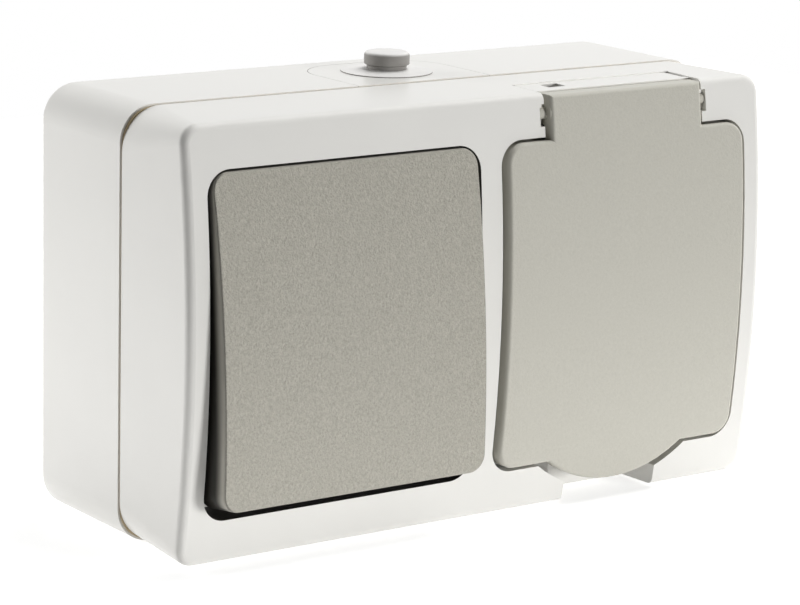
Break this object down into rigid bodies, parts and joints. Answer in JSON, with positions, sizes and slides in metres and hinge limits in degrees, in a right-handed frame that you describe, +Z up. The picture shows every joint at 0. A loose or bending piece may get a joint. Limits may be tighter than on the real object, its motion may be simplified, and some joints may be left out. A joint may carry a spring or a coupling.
{
  "type": "switch and socket combination",
  "caption": "Surface-mounted damp-room box with a large rocker switch beside a plug socket under a sprung flap lid, barrel-shaped face and a grommet cable entry on top",
  "frame": {"origin": "middle of the back face, on the wall", "axes": "X right, Y into the wall, Z up; the face looks towards -Y"},
  "size_m": [0.138, 0.0575, 0.088],
  "materials": {
    "housing": "moulded white plastic, satin gloss",
    "grey_face": "warm grey plastic with a fine spark-eroded grain",
    "grommet": "light grey soft elastomer",
    "parting_seal": "tan sealing strip",
    "gasket": "dark elastomer",
    "carrier": "natural nylon",
    "insert_body": "pale thermoset moulding",
    "contacts": "stamped brass",
    "steel": "zinc-plated steel"
  },
  "bodies": {
    "housing": {"back_box": "housing", "entry_plate": "housing", "entry_grommet": "grommet", "box_seal": "parting_seal", "front_cover": "housing", "cover_screws": "steel", "common_terminal": "contacts", "upper_terminal": "contacts", "lower_terminal": "contacts", "switch_base": "insert_body", "switch_seal": "gasket", "switch_terminal_screws": "steel", "insert_screws": "steel", "lid_spring": "steel", "socket_face": "grey_face", "socket_seal": "gasket", "socket_base": "insert_body", "live_terminal": "contacts", "neutral_terminal": "contacts", "earth_strap": "steel", "socket_terminal_screws": "steel", "pot_screw": "steel"},
    "rocker": {"rocker": "grey_face", "actuator": "carrier", "contact_pin": "carrier", "contact_spring": "steel"},
    "contact": {"contact_plate": "contacts"},
    "lid": {"lid": "grey_face", "lid_seal": "gasket"}
  },
  "joints": [
    {"name": "rocker_tilt", "type": "hinge", "parent": "housing", "child": "rocker", "pos_m": [-0.03318, -0.04, 0], "axis": [1, 0, 0], "range_deg": [0, 10.4]},
    {"name": "contact_flip", "type": "hinge", "parent": "housing", "child": "contact", "pos_m": [-0.03318, -0.022, 0], "axis": [1, 0, 0], "range_deg": [-14.1, 0]},
    {"name": "lid_hinge", "type": "hinge", "parent": "housing", "child": "lid", "pos_m": [0.03318, -0.0493, 0.0374], "axis": [-1, 0, 0], "range_deg": [0, 105], "stiffness_Nm_per_rad": 0.02, "springref_deg": -17.19, "deforming": ["lid_spring"]}
  ],
  "couplings": [
    {"joint": "contact_flip", "follows": "rocker_tilt", "ratio": -1.346}
  ]
}
